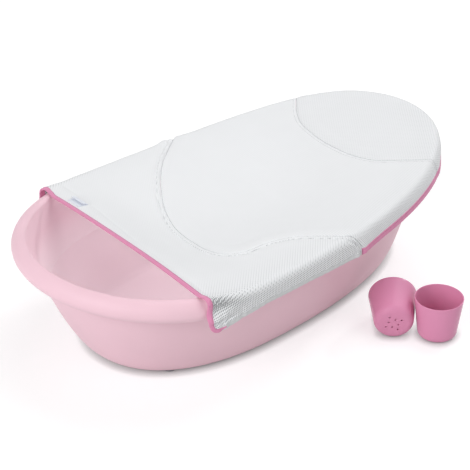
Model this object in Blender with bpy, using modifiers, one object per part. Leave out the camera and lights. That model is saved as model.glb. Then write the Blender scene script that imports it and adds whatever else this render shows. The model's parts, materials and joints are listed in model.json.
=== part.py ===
"""Baby bathtub with a mesh sling stretched over its rim, and two rinsing cups standing beside it.

Metres, +Z up. The origin is on the floor under the middle of the tub. The open foot end points to -X,
the raised head end to +X, and the cups stand on the near side, -Y.
"""

import math

import bmesh
import bpy
from mathutils import Matrix, Vector
from mathutils.geometry import interpolate_bezier

# Clearances between pieces that touch
SEAT_GAP = 0.0004
SEAM_GAP = 0.0003

# Rim of the tub, seen from above along its outermost line
TUB_LENGTH = 0.800
TUB_WIDTH = 0.470
RIM_WIDEST_FROM_FOOT = 0.2515
RIM_FOOT_ROUNDING = (0.546, 0.569)
RIM_HEAD_ROUNDING = (0.638, 0.755)

# Height of the rim's top above the floor, lowest at its widest place
RIM_HEIGHT = 0.1885
HEAD_RISE = 0.0464
HEAD_RISE_POWER = 2.39
FOOT_RISE = 0.0144
FOOT_RISE_POWER = 2.07

# Section of the rolled rim and of the wall under it
TUB_WALL = 0.0025
RIM_RADIUS = 0.0188
RIM_INNER_RADIUS = 0.006
RIM_TO_WALL = 0.0317
RIM_ROLL_ANGLES = (-70, -47, -23, 0, 22.5, 45, 67.5, 90)
RIM_INNER_ANGLES = (25, 50, 75)
WALL_CURVE = 0.64
WALL_STEPS = (1.0, 0.83, 0.66, 0.5, 0.34, 0.2, 0.1, 0.04)

# Base of the tub, set back from the rim's outermost line
BASE_FOOT_SETBACK = 0.114
BASE_HEAD_SETBACK = 0.067
BASE_SIDE_SETBACK = 0.0864
BASE_WIDEST_FROM_FOOT = 0.238
BASE_FOOT_ROUNDING = (0.643, 0.629)
BASE_HEAD_ROUNDING = (0.596, 0.592)
BASE_CORE_SHARE = 0.12
FOOT_QUARTER_STEPS = 13
HEAD_QUARTER_STEPS = 18

# Rubber pads under the base
PAD_RADIUS = 0.010
PAD_HEIGHT = 0.0036
PAD_EDGE = 0.0008
PAD_SIDES = 24
PAD_FOOT_INSET = 0.009
PAD_HEAD_INSET = 0.022
PAD_FOOT_STEP = 6
PAD_HEAD_STEP = 11

# Sling: straight taut edge at the foot, skirt hanging round the rim
SLING_FOOT_INSET = 0.1595
MESH_THICKNESS = 0.003
SKIRT_DROP = 0.0387
EDGE_BAND_HEIGHT = 0.0085
FOOT_BINDING_WIDTH = 0.008
BINDING_THICKNESS = 0.004
BLANK_OVERHANG = 0.03
SLING_RING_SHARES = (0.86, 0.68, 0.5, 0.32, 0.14)
SPINE_SHORTENING = 0.72

# Sag of the sling between the sides of the rim
SAG_DEPTH = 0.028
SAG_POWER = 2.0
SAG_FOOT_RAMP = 0.12
SAG_HEAD_END = 0.27
SAG_HEAD_RAMP = 0.20

# Seam behind the collar panel, from its tip on the middle line to the rim, measured from the tub's foot tip
COLLAR_SEAM_TIP = 0.285
COLLAR_SEAM_TIP_HANDLE = 0.200
COLLAR_SEAM_BEND = 0.338
COLLAR_SEAM_BEND_OUT = 0.050
COLLAR_SEAM_END = 0.444
COLLAR_SEAM_END_OUT = 0.236

# Seam in front of the head panel, from its tip on the middle line to the rim, measured from the tub's head tip
HEAD_SEAM_TIP = 0.184
HEAD_SEAM_TIP_HANDLE = 0.097
HEAD_SEAM_BEND = 0.159
HEAD_SEAM_BEND_OUT = 0.110
HEAD_SEAM_END = 0.090
HEAD_SEAM_END_OUT = 0.185
SEAM_STEPS = 13
SEAM_OVERRUN = 0.08
CUT_REACH = 0.5

# Elastic tape in the foot hem, and the blank label on top of it
TAPE_SETBACK = 0.009
TAPE_WIDTH = 0.012
TAPE_THICKNESS = 0.001
TAPE_RIM_CLEARANCE = 0.020
LABEL_LENGTH = 0.031
LABEL_WIDTH = 0.018
LABEL_THICKNESS = 0.0008
LABEL_FROM_RIM = 0.0745

# Rinsing cups
CUP_HEIGHT = 0.0716
CUP_TOP_RADIUS = 0.0401
CUP_BASE_RADIUS = 0.0316
CUP_FILLET = 0.0108
CUP_WALL = 0.0018
CUP_STEPS = 40
CUP_FILLET_STEPS = 5
SPRINKLE_CUP_X = 0.0970
SPRINKLE_CUP_OUTSIDE_RIM = 0.0406
SPRINKLE_CUP_HEADING = math.radians(46)
RINSE_CUP_AHEAD = 0.0210
CUP_SPACING = 0.0004
SPRAY_HOLE_RADIUS = 0.0016
SPRAY_INNER_RING = 0.0079
SPRAY_INNER_TURN = math.radians(16)
SPRAY_OUTER_RING = 0.0145
SPRAY_OUTER_TURN = math.radians(60)
SPRAY_HOLES_PER_RING = 4
SPRAY_HOLE_SIDES = 10

CREASE_ANGLE = math.radians(40)
MERGE_DISTANCE = 0.00005

TUB_PINK = (0.87, 0.60, 0.67)
DEEP_PINK = (0.62, 0.21, 0.36)
MESH_WHITE = (0.84, 0.85, 0.87)
ELASTIC_WHITE = (0.80, 0.80, 0.82)
LABEL_WHITE = (0.88, 0.88, 0.88)
RUBBER_GREY = (0.24, 0.23, 0.25)

FOOT_TIP_X = -TUB_LENGTH / 2
HEAD_TIP_X = TUB_LENGTH / 2
RIM_WIDEST_X = FOOT_TIP_X + RIM_WIDEST_FROM_FOOT
BASE_LENGTH = TUB_LENGTH - BASE_FOOT_SETBACK - BASE_HEAD_SETBACK
BASE_WIDTH = TUB_WIDTH - 2 * BASE_SIDE_SETBACK
BASE_UNDERSIDE = PAD_HEIGHT + SEAT_GAP
FLOOR_TOP = BASE_UNDERSIDE + TUB_WALL
SLING_FOOT_X = FOOT_TIP_X + SLING_FOOT_INSET
MESH_FOOT_X = SLING_FOOT_X + FOOT_BINDING_WIDTH + SEAM_GAP


def quarter(end_x, half_width, rounding, steps):
    """Points of a quarter outline from the tip (end_x, 0) to the side (0, -half_width)."""
    along_end, along_side = rounding
    tip, side = Vector((end_x, 0, 0)), Vector((0, -half_width, 0))
    tip_handle = Vector((end_x, -along_end * half_width, 0))
    side_handle = Vector((along_side * end_x, -half_width, 0))
    return interpolate_bezier(tip, tip_handle, side_handle, side, steps + 1)


def outline(length, width, foot_x, widest_from_foot, foot_rounding, head_rounding):
    """Egg-shaped plan, counterclockwise from the foot's tip, as (point, outward normal) pairs."""
    foot = quarter(-widest_from_foot, width / 2, foot_rounding, FOOT_QUARTER_STEPS)
    head = quarter(length - widest_from_foot, width / 2, head_rounding, HEAD_QUARTER_STEPS)
    near_side = foot + head[-2::-1]
    far_side = [Vector((p.x, -p.y, 0)) for p in near_side[-2:0:-1]]
    shift = Vector((foot_x + widest_from_foot, 0, 0))
    points = [p + shift for p in near_side + far_side]
    pairs = []
    for i, point in enumerate(points):
        along = points[(i + 1) % len(points)] - points[i - 1]
        pairs.append((point, Vector((along.y, -along.x, 0)).normalized()))
    return pairs


RIM = outline(TUB_LENGTH, TUB_WIDTH, FOOT_TIP_X, RIM_WIDEST_FROM_FOOT, RIM_FOOT_ROUNDING, RIM_HEAD_ROUNDING)
BASE = outline(BASE_LENGTH, BASE_WIDTH, FOOT_TIP_X + BASE_FOOT_SETBACK, BASE_WIDEST_FROM_FOOT,
               BASE_FOOT_ROUNDING, BASE_HEAD_ROUNDING)


def rim_height(x):
    """Height of the rim's top, which rises from its widest place towards both ends."""
    if x > RIM_WIDEST_X:
        share = (x - RIM_WIDEST_X) / (TUB_LENGTH - RIM_WIDEST_FROM_FOOT)
        return RIM_HEIGHT + HEAD_RISE * share ** HEAD_RISE_POWER
    share = (RIM_WIDEST_X - x) / RIM_WIDEST_FROM_FOOT
    return RIM_HEIGHT + FOOT_RISE * share ** FOOT_RISE_POWER


def rim_half_width(x):
    """Half the width of the rim's outermost line at one place along the tub."""
    near_side = [point for point, _ in RIM[:FOOT_QUARTER_STEPS + HEAD_QUARTER_STEPS + 1]]
    for low, high in zip(near_side, near_side[1:]):
        if low.x <= x <= high.x:
            return -low.lerp(high, (x - low.x) / (high.x - low.x)).y
    return 0.0


def rim_ring(offset, drop, pairs=RIM):
    """Ring that follows the rim, set out from its outermost line and below its top."""
    ring = []
    for point, normal in pairs:
        place = point + normal * offset
        ring.append(Vector((place.x, place.y, rim_height(place.x) - drop)))
    return ring


def roll_ring(angle, lift=0.0, pairs=RIM):
    """Ring on the rounded rim at an angle from its outermost line, lifted off its surface."""
    reach = RIM_RADIUS + lift
    turn = math.radians(angle)
    return rim_ring(reach * math.cos(turn) - RIM_RADIUS, RIM_RADIUS - reach * math.sin(turn), pairs)


def smooth_step(value):
    """Eased ramp from 0 to 1."""
    value = min(max(value, 0.0), 1.0)
    return value * value * (3 - 2 * value)


def make_material(name, colour, roughness):
    """Plain surface material for one kind of piece."""
    material = bpy.data.materials.new(name)
    material.use_nodes = True
    surface = material.node_tree.nodes["Principled BSDF"]
    surface.inputs["Base Color"].default_value = (*colour, 1.0)
    surface.inputs["Roughness"].default_value = roughness
    surface.inputs["Metallic"].default_value = 0.0
    return material


def add_object(name, mesh, material, collection):
    """Object in its collection, shaded smooth up to a plain crease angle."""
    made = bpy.data.objects.new(name, mesh)
    collection.objects.link(made)
    if material:
        mesh.materials.append(material)
    mesh.shade_smooth()
    mesh.set_sharp_from_angle(angle=CREASE_ANGLE)
    return made


def add_frame(name, collection):
    """Empty that carries the pieces of one body."""
    frame = bpy.data.objects.new(name, None)
    collection.objects.link(frame)
    return frame


def add_cutter(name, mesh, collection):
    """Shape that only trims other pieces."""
    cutter = add_object(name, mesh, None, collection)
    cutter.hide_render = True
    cutter.display_type = "WIRE"
    return cutter


def trim(target, cutter, operation):
    """Boolean of one piece with a trimming shape."""
    modifier = target.modifiers.new(cutter.name, "BOOLEAN")
    modifier.operation = operation
    modifier.object = cutter
    modifier.solver = "EXACT"


def thicken(target, thickness, side):
    """Thickness for an open surface, towards its faces' side (1) or away from it (-1)."""
    modifier = target.modifiers.new("Thickness", "SOLIDIFY")
    modifier.thickness = thickness
    modifier.offset = side
    modifier.use_even_offset = True


def loft(rings, closed):
    """Surface through rings listed from the outer edge over the rim towards the middle, facing up."""
    bm = bmesh.new()
    loops = [[bm.verts.new(point) for point in ring] for ring in rings]
    count = len(loops[0])
    for outer, inner in zip(loops, loops[1:]):
        for i in range(count if closed else count - 1):
            j = (i + 1) % count
            bm.faces.new((outer[i], outer[j], inner[j], inner[i]))
    return bm, loops[-1]


def finish_mesh(name, bm):
    """Mesh from a bmesh that is done with."""
    mesh = bpy.data.meshes.new(name)
    bm.to_mesh(mesh)
    bm.free()
    return mesh


def build_tub_shell(material, frame, parts):
    """One moulded sheet: rolled rim, curved wall and flat floor."""
    rings = [roll_ring(angle) for angle in RIM_ROLL_ANGLES]
    for angle in RIM_INNER_ANGLES:
        turn = math.radians(angle)
        inset = RIM_RADIUS + RIM_INNER_RADIUS * math.sin(turn)
        rings.append(rim_ring(-inset, RIM_INNER_RADIUS * (1 - math.cos(turn))))
    wall_top = rim_ring(-RIM_TO_WALL - TUB_WALL, 2 * RIM_RADIUS)
    floor_edge = [point - normal * TUB_WALL + Vector((0, 0, FLOOR_TOP)) for point, normal in BASE]
    for height_share in WALL_STEPS:
        side_share = height_share ** WALL_CURVE
        ring = []
        for low, high in zip(floor_edge, wall_top):
            place = low.lerp(high, side_share)
            place.z = low.z + (high.z - low.z) * height_share
            ring.append(place)
        rings.append(ring)
    middle = Vector((0, 0, FLOOR_TOP))
    rings += [floor_edge, [middle.lerp(point, BASE_CORE_SHARE) for point in floor_edge]]
    bm, core = loft(rings, closed=True)
    bm.faces.new(core)
    shell = add_object("tub_shell", finish_mesh("tub_shell", bm), material, parts)
    shell.parent = frame
    thicken(shell, TUB_WALL, -1)


def build_pads(material, frame, parts):
    """Four grey rubber pads at the edge of the base."""
    head_tip = FOOT_QUARTER_STEPS + HEAD_QUARTER_STEPS
    ends = {"foot": (PAD_FOOT_STEP, PAD_FOOT_INSET), "head": (head_tip - PAD_HEAD_STEP, PAD_HEAD_INSET)}
    for end, (step, inset) in ends.items():
        point, normal = BASE[step]
        place = point - normal * inset
        for side, sign in (("near", 1), ("far", -1)):
            centre = (place.x, sign * place.y, PAD_HEIGHT / 2)
            bpy.ops.mesh.primitive_cylinder_add(vertices=PAD_SIDES, radius=PAD_RADIUS, depth=PAD_HEIGHT,
                                                location=centre)
            pad = bpy.context.object
            pad.name = f"rubber_pad_{end}_{side}"
            for owner in list(pad.users_collection):
                owner.objects.unlink(pad)
            parts.objects.link(pad)
            pad.parent = frame
            pad.data.materials.append(material)
            edge = pad.modifiers.new("Edge", "BEVEL")
            edge.width = PAD_EDGE
            edge.segments = 1
            edge.limit_method = "ANGLE"


def sling_pairs():
    """Stretch of the rim that the sling covers, from the near foot corner round the head."""
    start_x = SLING_FOOT_X - BLANK_OVERHANG
    return [pair for pair in RIM if pair[0].x > start_x]


def sag(x, share):
    """Depth of the sling below the rim: none at the taut foot edge, at the head and on the rim."""
    foot = smooth_step((x - SLING_FOOT_X) / SAG_FOOT_RAMP)
    head = smooth_step((SAG_HEAD_END - x) / SAG_HEAD_RAMP)
    return SAG_DEPTH * foot * head * (1 - share * share) ** SAG_POWER


def sling_blank(name, lift, drops):
    """Open sheet over the tub: skirt rings at the given drops, over the rim, and in to the middle line."""
    pairs = sling_pairs()
    rings = [rim_ring(lift, drop, pairs) for drop in drops]
    rings += [roll_ring(angle, lift, pairs) for angle in RIM_ROLL_ANGLES if angle >= 0]
    edge = rings[-1]
    foot_x = edge[0].x
    for share in SLING_RING_SHARES:
        ring = []
        for point in edge:
            spine = Vector((foot_x + (point.x - foot_x) * SPINE_SHORTENING, 0, 0))
            place = spine.lerp(point, share)
            place.z = rim_height(place.x) + lift - sag(place.x, share)
            ring.append(place)
        rings.append(ring)
    bm, inner = loft(rings, closed=False)
    last = len(inner) - 1
    for i in range(len(inner) // 2):
        corners = (inner[i], inner[i + 1], inner[last - i - 1], inner[last - i])
        bm.faces.new(tuple(dict.fromkeys(corners)))
    return finish_mesh(name, bm)


def edge_band(name, top_drop, bottom_drop):
    """Strip along the lower edge of the skirt."""
    pairs = sling_pairs()
    rings = [rim_ring(SEAT_GAP, drop, pairs) for drop in (bottom_drop, top_drop)]
    bm, _ = loft(rings, closed=False)
    return finish_mesh(name, bm)


def seam_handles(start_x, toward, places):
    """Half a seam as curve handles (along, out) from one end of the tub; toward is 1 or -1 along X."""
    return [Vector((start_x + toward * along, out, 0)) for along, out in places]


def seam_line(handles, shift):
    """Seam across the sling from the near side to the far side, shifted to one side by part of its gap."""
    half = interpolate_bezier(*handles, SEAM_STEPS)
    past_rim = half[-1] + (half[-1] - half[-2]).normalized() * SEAM_OVERRUN
    half.append(past_rim)
    line = [Vector((p.x, -p.y, 0)) for p in half[:0:-1]] + half
    moved = []
    for i, point in enumerate(line):
        along = line[min(i + 1, len(line) - 1)] - line[max(i - 1, 0)]
        moved.append(point + Vector((along.y, -along.x, 0)).normalized() * shift)
    return moved


def prism(name, corners, cutters):
    """Upright trimming prism on a plan outline, taller than the whole object."""
    bm = bmesh.new()
    base = bm.faces.new([bm.verts.new((p[0], p[1], -CUT_REACH)) for p in corners])
    bmesh.ops.recalc_face_normals(bm, faces=[base])
    grown = bmesh.ops.extrude_face_region(bm, geom=[base])
    top = [v for v in grown["geom"] if isinstance(v, bmesh.types.BMVert)]
    bmesh.ops.translate(bm, verts=top, vec=(0, 0, 2 * CUT_REACH))
    bmesh.ops.recalc_face_normals(bm, faces=bm.faces)
    return add_cutter(name, finish_mesh(name, bm), cutters)


def rectangle(low_x, high_x, low_y, high_y):
    """Corners of a plan rectangle."""
    return [(low_x, low_y), (high_x, low_y), (high_x, high_y), (low_x, high_y)]


def sling_piece(name, mesh, thickness, cutter, material, frame, parts):
    """Piece of the sling: an open sheet, thickened upwards and trimmed to its own outline."""
    piece = add_object(name, mesh, material, parts)
    piece.parent = frame
    thicken(piece, thickness, 1)
    trim(piece, cutter, "INTERSECT")


def build_sling(materials, frame, parts, cutters):
    """Three sewn mesh panels, their bindings, the hem elastics, the tape at the foot and the label."""
    half_gap = SEAM_GAP / 2
    collar_seam = seam_handles(FOOT_TIP_X, 1, ((COLLAR_SEAM_TIP, 0), (COLLAR_SEAM_TIP, COLLAR_SEAM_TIP_HANDLE),
                                               (COLLAR_SEAM_BEND, COLLAR_SEAM_BEND_OUT),
                                               (COLLAR_SEAM_END, COLLAR_SEAM_END_OUT)))
    head_seam = seam_handles(HEAD_TIP_X, -1, ((HEAD_SEAM_TIP, 0), (HEAD_SEAM_TIP, HEAD_SEAM_TIP_HANDLE),
                                              (HEAD_SEAM_BEND, HEAD_SEAM_BEND_OUT),
                                              (HEAD_SEAM_END, HEAD_SEAM_END_OUT)))
    collar_back = seam_line(collar_seam, -half_gap)
    centre_front = seam_line(collar_seam, half_gap)
    centre_back = seam_line(head_seam, -half_gap)
    head_front = seam_line(head_seam, half_gap)
    foot_corners = [(MESH_FOOT_X, CUT_REACH), (MESH_FOOT_X, -CUT_REACH)]
    head_corners = [(CUT_REACH, CUT_REACH), (CUT_REACH, -CUT_REACH)]
    panels = {
        "sling_collar_panel": foot_corners + [(collar_back[0].x, -CUT_REACH)] + collar_back
        + [(collar_back[-1].x, CUT_REACH)],
        "sling_centre_panel": centre_front + centre_back[::-1],
        "sling_head_panel": head_front + head_corners,
    }
    panel_drop = SKIRT_DROP - EDGE_BAND_HEIGHT - SEAM_GAP
    for name, corners in panels.items():
        cutter = prism(f"{name}_outline", corners, cutters)
        mesh = sling_blank(name, SEAT_GAP, (panel_drop,))
        sling_piece(name, mesh, MESH_THICKNESS, cutter, materials["mesh"], frame, parts)
    foot_strip = rectangle(SLING_FOOT_X, SLING_FOOT_X + FOOT_BINDING_WIDTH, -CUT_REACH, CUT_REACH)
    cutter = prism("foot_binding_outline", foot_strip, cutters)
    mesh = sling_blank("foot_binding", SEAT_GAP, (SKIRT_DROP,))
    sling_piece("foot_binding", mesh, BINDING_THICKNESS, cutter, materials["binding"], frame, parts)
    side_end = collar_seam[-1].x
    band_top = SKIRT_DROP - EDGE_BAND_HEIGHT
    bands = {
        "head_binding": (rectangle(side_end + half_gap, CUT_REACH, -CUT_REACH, CUT_REACH), "binding"),
        "near_hem_elastic": (rectangle(MESH_FOOT_X, side_end - half_gap, -CUT_REACH, 0), "elastic"),
        "far_hem_elastic": (rectangle(MESH_FOOT_X, side_end - half_gap, 0, CUT_REACH), "elastic"),
    }
    for name, (corners, kind) in bands.items():
        cutter = prism(f"{name}_outline", corners, cutters)
        thickness = BINDING_THICKNESS if kind == "binding" else MESH_THICKNESS
        mesh = edge_band(name, band_top, SKIRT_DROP)
        sling_piece(name, mesh, thickness, cutter, materials[kind], frame, parts)
    foot_half_width = rim_half_width(SLING_FOOT_X)
    tape_reach = foot_half_width - RIM_RADIUS - RIM_INNER_RADIUS - TAPE_RIM_CLEARANCE
    tape_x = SLING_FOOT_X + TAPE_SETBACK
    cutter = prism("foot_hem_elastic_outline", rectangle(tape_x, tape_x + TAPE_WIDTH, -tape_reach, tape_reach),
                   cutters)
    mesh = sling_blank("foot_hem_elastic", -TAPE_THICKNESS, (SKIRT_DROP,))
    sling_piece("foot_hem_elastic", mesh, TAPE_THICKNESS, cutter, materials["elastic"], frame, parts)
    label_y = foot_half_width - LABEL_FROM_RIM
    cutter = prism("label_outline", rectangle(MESH_FOOT_X, MESH_FOOT_X + LABEL_WIDTH,
                                              label_y - LABEL_LENGTH / 2, label_y + LABEL_LENGTH / 2), cutters)
    mesh = sling_blank("label", 2 * SEAT_GAP + MESH_THICKNESS, (SKIRT_DROP,))
    sling_piece("blank_label", mesh, LABEL_THICKNESS, cutter, materials["label"], frame, parts)


def cup_lean():
    """Angle between the cup's side and its axis."""
    return math.atan2(CUP_TOP_RADIUS - CUP_BASE_RADIUS, CUP_HEIGHT)


def cup_profile():
    """Half section of the cup: inside from the middle up to the lip, then down its outer side."""
    lean = cup_lean()
    rise = CUP_FILLET * (1 - math.sin(lean)) / math.cos(lean)
    centre_x = CUP_BASE_RADIUS + rise * math.sin(lean) - CUP_FILLET * math.cos(lean)
    turns = [-math.pi / 2 + (math.pi / 2 - lean) * i / CUP_FILLET_STEPS for i in range(CUP_FILLET_STEPS + 1)]

    def fillet(radius):
        return [(centre_x + radius * math.cos(t), CUP_FILLET + radius * math.sin(t)) for t in turns]

    lip = CUP_WALL / math.cos(lean)
    inside = [(0, CUP_WALL)] + fillet(CUP_FILLET - CUP_WALL) + [(CUP_TOP_RADIUS - lip, CUP_HEIGHT)]
    outside = [(CUP_TOP_RADIUS, CUP_HEIGHT)] + fillet(CUP_FILLET)[::-1] + [(0, 0)]
    return inside + outside


def build_cup(name, material, parts):
    """Tapered round cup turned about its own upright axis."""
    bm = bmesh.new()
    line = [bm.verts.new((x, 0, z)) for x, z in cup_profile()]
    for start, end in zip(line, line[1:]):
        bm.edges.new((start, end))
    cup = add_object(name, finish_mesh(name, bm), material, parts)
    turn = cup.modifiers.new("Turn", "SCREW")
    turn.steps = CUP_STEPS
    turn.render_steps = CUP_STEPS
    turn.use_merge_vertices = True
    turn.merge_threshold = MERGE_DISTANCE
    return cup


def build_cups(material, parts, cutters):
    """Rinsing cup that stands upright, and a sprinkling cup with a pierced base that lies on its side."""
    sprinkle = build_cup("sprinkle_cup", material, parts)
    lean = cup_lean()
    lying = Matrix.Rotation(SPRINKLE_CUP_HEADING, 4, "Z") @ Matrix.Rotation(math.pi / 2 - lean, 4, "Y")
    sprinkle.rotation_euler = lying.to_euler()
    lying_base = Vector((SPRINKLE_CUP_X, -TUB_WIDTH / 2 - SPRINKLE_CUP_OUTSIDE_RIM, 0))
    sprinkle.location = lying_base + Vector((0, 0, CUP_BASE_RADIUS * math.cos(lean)))
    ahead = Vector((math.cos(SPRINKLE_CUP_HEADING), math.sin(SPRINKLE_CUP_HEADING), 0))
    beside = Vector((ahead.y, -ahead.x, 0))
    rinse = build_cup("rinse_cup", material, parts)
    rinse.location = (lying_base + ahead * RINSE_CUP_AHEAD
                      + beside * (CUP_TOP_RADIUS + CUP_BASE_RADIUS + CUP_SPACING))
    bm = bmesh.new()
    for radius, first in ((SPRAY_INNER_RING, SPRAY_INNER_TURN), (SPRAY_OUTER_RING, SPRAY_OUTER_TURN)):
        for i in range(SPRAY_HOLES_PER_RING):
            turn = first + 2 * math.pi * i / SPRAY_HOLES_PER_RING
            place = Matrix.Translation((radius * math.cos(turn), radius * math.sin(turn), CUP_WALL / 2))
            bmesh.ops.create_cone(bm, cap_ends=True, segments=SPRAY_HOLE_SIDES, radius1=SPRAY_HOLE_RADIUS,
                                  radius2=SPRAY_HOLE_RADIUS, depth=4 * CUP_WALL, matrix=place)
    holes = add_cutter("spray_holes", finish_mesh("spray_holes", bm), cutters)
    holes.parent = sprinkle
    trim(sprinkle, holes, "DIFFERENCE")


def main():
    """Whole set on an empty scene."""
    for old in list(bpy.data.objects):
        bpy.data.objects.remove(old, do_unlink=True)
    parts = bpy.data.collections.new("baby_bathtub")
    cutters = bpy.data.collections.new("cutters")
    for collection in (parts, cutters):
        bpy.context.scene.collection.children.link(collection)
    plastic = make_material("tub_plastic", TUB_PINK, 0.35)
    rubber = make_material("pad_rubber", RUBBER_GREY, 0.8)
    cup_plastic = make_material("cup_plastic", DEEP_PINK, 0.3)
    fabrics = {
        "mesh": make_material("sling_mesh", MESH_WHITE, 0.9),
        "binding": make_material("binding_tape", DEEP_PINK, 0.7),
        "elastic": make_material("hem_elastic", ELASTIC_WHITE, 0.85),
        "label": make_material("label_cloth", LABEL_WHITE, 0.6),
    }
    tub_frame = add_frame("tub_frame", parts)
    build_tub_shell(plastic, tub_frame, parts)
    build_pads(rubber, tub_frame, parts)
    build_sling(fabrics, add_frame("sling_frame", parts), parts, cutters)
    build_cups(cup_plastic, parts, cutters)


main()
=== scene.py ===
"""Looks of the baby bathtub: moulded tub, sewn mesh sling stretched over its rim, and two rinsing cups.

Metres, +Z up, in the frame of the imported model. The foot end points to -X and the near side to -Y.
"""

import json
from math import atan2, cos, pi, radians, sin

import bpy
import numpy as np
from mathutils import Matrix, Vector
from mathutils.geometry import delaunay_2d_cdt
from mathutils.kdtree import KDTree

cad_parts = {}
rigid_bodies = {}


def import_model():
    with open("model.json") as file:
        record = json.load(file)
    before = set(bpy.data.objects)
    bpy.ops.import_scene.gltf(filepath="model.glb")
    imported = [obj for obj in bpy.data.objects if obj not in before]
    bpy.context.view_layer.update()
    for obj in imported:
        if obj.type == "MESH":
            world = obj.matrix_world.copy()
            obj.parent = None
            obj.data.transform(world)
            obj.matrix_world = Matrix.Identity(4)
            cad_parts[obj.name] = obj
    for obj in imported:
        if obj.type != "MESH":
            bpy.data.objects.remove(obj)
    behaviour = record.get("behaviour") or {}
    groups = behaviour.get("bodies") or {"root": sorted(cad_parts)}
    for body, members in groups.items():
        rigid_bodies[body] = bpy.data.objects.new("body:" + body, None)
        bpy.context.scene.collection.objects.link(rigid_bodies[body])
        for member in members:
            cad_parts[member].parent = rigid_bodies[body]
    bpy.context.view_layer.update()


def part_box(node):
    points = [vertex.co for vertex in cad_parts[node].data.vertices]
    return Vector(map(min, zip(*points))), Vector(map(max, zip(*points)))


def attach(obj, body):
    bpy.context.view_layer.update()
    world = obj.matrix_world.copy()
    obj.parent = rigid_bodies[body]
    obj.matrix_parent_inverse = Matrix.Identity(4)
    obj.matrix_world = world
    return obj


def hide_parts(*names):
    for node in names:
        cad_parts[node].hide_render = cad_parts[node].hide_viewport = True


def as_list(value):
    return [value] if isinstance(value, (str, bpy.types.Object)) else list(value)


# Camera
CAMERA_PLACE = (-1.50197, -1.70932, 1.47580)
CAMERA_TARGET = (-0.0096, -0.0068, 0.1200)
CAMERA_LENS = 121.56
CAMERA_SENSOR = 36.0

# Tub, as in the frame
TUB_LENGTH = 0.800
TUB_WIDTH = 0.470
FOOT_TIP_X = -TUB_LENGTH / 2
RIM_WIDEST_FROM_FOOT = 0.2515
RIM_WIDEST_X = FOOT_TIP_X + RIM_WIDEST_FROM_FOOT
RIM_FOOT_ROUNDING = (0.546, 0.569)
RIM_HEAD_ROUNDING = (0.638, 0.755)
RIM_HEIGHT = 0.1885
HEAD_RISE = 0.0464
HEAD_RISE_POWER = 2.39
FOOT_RISE = 0.0144
FOOT_RISE_POWER = 2.07
TUB_WALL = 0.0025
RIM_RADIUS = 0.0188
RIM_INNER_RADIUS = 0.006
RIM_TO_WALL = 0.0317
RIM_LIP_ANGLE = -70
WALL_CURVE = 0.64
WALL_FILLET_SHARE = 0.45
BASE_FOOT_SETBACK = 0.114
BASE_LENGTH = TUB_LENGTH - BASE_FOOT_SETBACK - 0.067
BASE_WIDTH = TUB_WIDTH - 2 * 0.0864
BASE_WIDEST_FROM_FOOT = 0.238
BASE_FOOT_ROUNDING = (0.643, 0.629)
BASE_HEAD_ROUNDING = (0.596, 0.592)
FLOOR_TOP = 0.0065
FOOT_STEPS = 150
HEAD_STEPS = 230

# Raised line on the inside of the wall that marks the water level
FILL_LINE_HEIGHT = 0.100
FILL_LINE_HALF = 0.0022
FILL_LINE_RISE = 0.0008

# Sling, as in the frame
SLING_FOOT_X = -0.2405
SAG_DEPTH = 0.028
SAG_POWER = 2.0
SAG_FOOT_RAMP = 0.12
SAG_HEAD_END = 0.27
SAG_HEAD_RAMP = 0.20
CLOTH_UNDER = 0.0007
CLOTH_TOP = 0.0034
CLOTH_NET = 0.0028
NEAR_BEND = 0.006
FAR_BEND = 0.017

# Foot edge of the sling: it sits a little askew and bows towards the head
FOOT_EDGE_U = -0.2322
FOOT_EDGE_SKEW = 0.0324
FOOT_EDGE_BOW = 0.165

# Seam allowances and border bands, measured on the flat cloth
BAND_WIDTH = 0.0070
BAND_GAP = 0.0003
SEAM_GAP = 0.0003
TAPE_TOP = 0.0041
HEAD_TAPE_WIDTH = 0.0112
HEM_TOP = 0.0034
SKIRT_OUT = 0.0501
BORDER_STEP = 0.002


def smooth(value, start, span):
    """Eased 0 to 1 as a value goes on from a start over a span."""
    share = np.clip((value - start) / span, 0.0, 1.0)
    return share * share * (3 - 2 * share)


def mound(distance, width):
    """Soft hump of height 1."""
    return np.exp(-((distance / width) ** 2))


def bezier(start, start_handle, end_handle, end, steps):
    """Points of a cubic curve, both ends included."""
    t = np.linspace(0, 1, steps + 1)[:, None]
    a, b, c, d = (np.array(p, float) for p in (start, start_handle, end_handle, end))
    return (1 - t) ** 3 * a + 3 * (1 - t) ** 2 * t * b + 3 * (1 - t) * t * t * c + t ** 3 * d


def arc(middle, radius, start, end, steps):
    """Points of a circle from one angle to another, both ends included."""
    turns = np.linspace(start, end, steps + 1)
    return np.column_stack([middle[0] + radius * np.cos(turns), middle[1] + radius * np.sin(turns)])


def circle(middle, radius, count, first=0.0):
    """Evenly spaced points all round a circle."""
    return arc(middle, radius, first, first + 2 * pi, count)[:-1]


def along_line(points, closed=False):
    """Unit directions along a line of points."""
    if closed:
        step = np.roll(points, -1, axis=0) - np.roll(points, 1, axis=0)
    else:
        step = np.gradient(points, axis=0)
    return step / np.linalg.norm(step, axis=1)[:, None]


def length_along(points):
    """Length of a line from its start to each of its points."""
    return np.concatenate([[0], np.cumsum(np.linalg.norm(np.diff(points, axis=0), axis=1))])


def shifted(line, shift):
    """Open line moved to its left by a distance."""
    along = along_line(line)
    return line + np.stack([-along[:, 1], along[:, 0]], axis=1) * shift


def evenly(points, step):
    """The same line with points about one step apart."""
    reach = length_along(points)
    places = np.linspace(0, reach[-1], max(2, round(reach[-1] / step) + 1))
    return np.stack([np.interp(places, reach, points[:, k]) for k in range(points.shape[1])], axis=1)


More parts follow.
